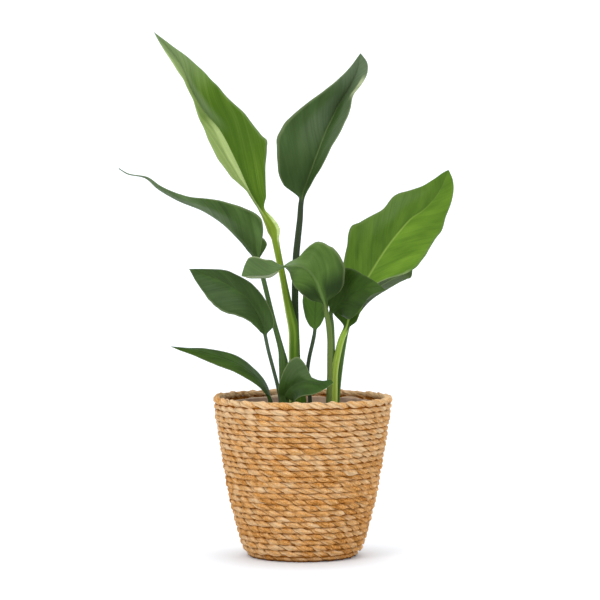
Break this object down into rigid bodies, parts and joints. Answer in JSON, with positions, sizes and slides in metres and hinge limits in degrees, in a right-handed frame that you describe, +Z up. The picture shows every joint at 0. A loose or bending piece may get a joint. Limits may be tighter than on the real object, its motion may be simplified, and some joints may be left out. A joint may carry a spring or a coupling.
{
  "type": "potted plant in basket",
  "caption": "Young broad-leaved foliage plant in a nursery pot, standing in a film-lined round basket of coiled twisted seagrass rope.",
  "frame": {"origin": "centre of the flat round patch under the basket, on the floor", "axes": "+Z up along the basket's axis, -Y towards the front of the plant, +X to the right as seen from the front"},
  "size_m": [0.4082, 0.2188, 0.6423],
  "materials": {
    "seagrass": "matte",
    "liner_film": "satin",
    "pot_plastic": "satin",
    "soil": "matte",
    "leaf_bright": "satin",
    "leaf_dark": "satin"
  },
  "bodies": {
    "root": {"basket": "seagrass", "liner": "liner_film", "grow_pot": "pot_plastic", "soil": "soil", "leaf_tall_left": "leaf_bright", "leaf_tall_right": "leaf_dark", "leaf_arching_left": "leaf_dark", "leaf_mid_left": "leaf_dark", "leaf_low_left": "leaf_dark", "leaf_front_low": "leaf_dark", "leaf_twisted_front": "leaf_bright", "leaf_mid_right": "leaf_dark", "leaf_bright_right": "leaf_bright", "leaf_back_right": "leaf_dark", "leaf_small_back": "leaf_dark"}
  },
  "joints": []
}
